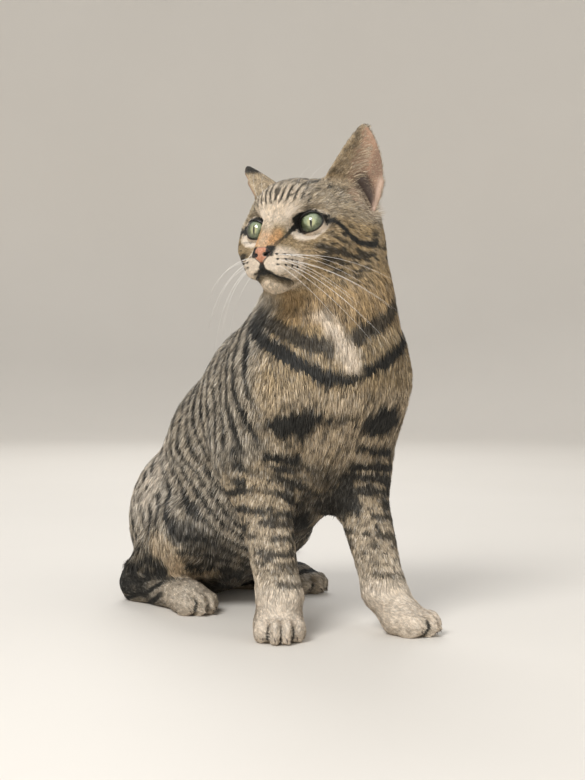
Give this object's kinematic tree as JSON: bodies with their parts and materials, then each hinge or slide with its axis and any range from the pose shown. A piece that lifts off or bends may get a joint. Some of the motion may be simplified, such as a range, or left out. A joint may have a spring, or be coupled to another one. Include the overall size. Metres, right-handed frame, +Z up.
{
  "type": "cat",
  "caption": "Life-size still model of a sitting short-haired grey-brown tabby cat, head turned to its right, tail laid on the floor behind.",
  "frame": {"origin": "on the floor, at the middle of the flat under the rump", "axes": "+Z up, -Y the way the chest faces, +X the cat's left"},
  "size_m": [0.286, 0.4587, 0.38],
  "materials": {
    "coat_head": "short tabby fur, grey-brown with dark streaks and a cream muzzle",
    "coat_neck": "short tabby fur, olive-brown with dark necklaces",
    "coat_trunk": "short tabby fur, grey-brown with narrow dark stripes",
    "coat_leg": "short tabby fur, beige with dark bars",
    "coat_paw": "very short cream fur",
    "coat_tail": "short tabby fur, ringed dark",
    "ear_coat": "thin fur outside, pink-tan skin with pale hairs inside",
    "nose_leather": "terracotta nose leather with a dark rim",
    "eye": "wet green iris with a dark slit pupil under a clear cornea"
  },
  "bodies": {
    "root": {"head": "coat_head", "nose": "nose_leather", "ear_left": "ear_coat", "ear_right": "ear_coat", "eye_left": "eye", "eye_right": "eye", "neck": "coat_neck", "trunk": "coat_trunk", "foreleg_left": "coat_leg", "foreleg_right": "coat_leg", "forepaw_left": "coat_paw", "forepaw_right": "coat_paw", "thigh_left": "coat_trunk", "thigh_right": "coat_trunk", "hindfoot_left": "coat_paw", "hindfoot_right": "coat_paw", "tail_root": "coat_tail", "tail_middle": "coat_tail", "tail_tip": "coat_tail"}
  },
  "joints": []
}
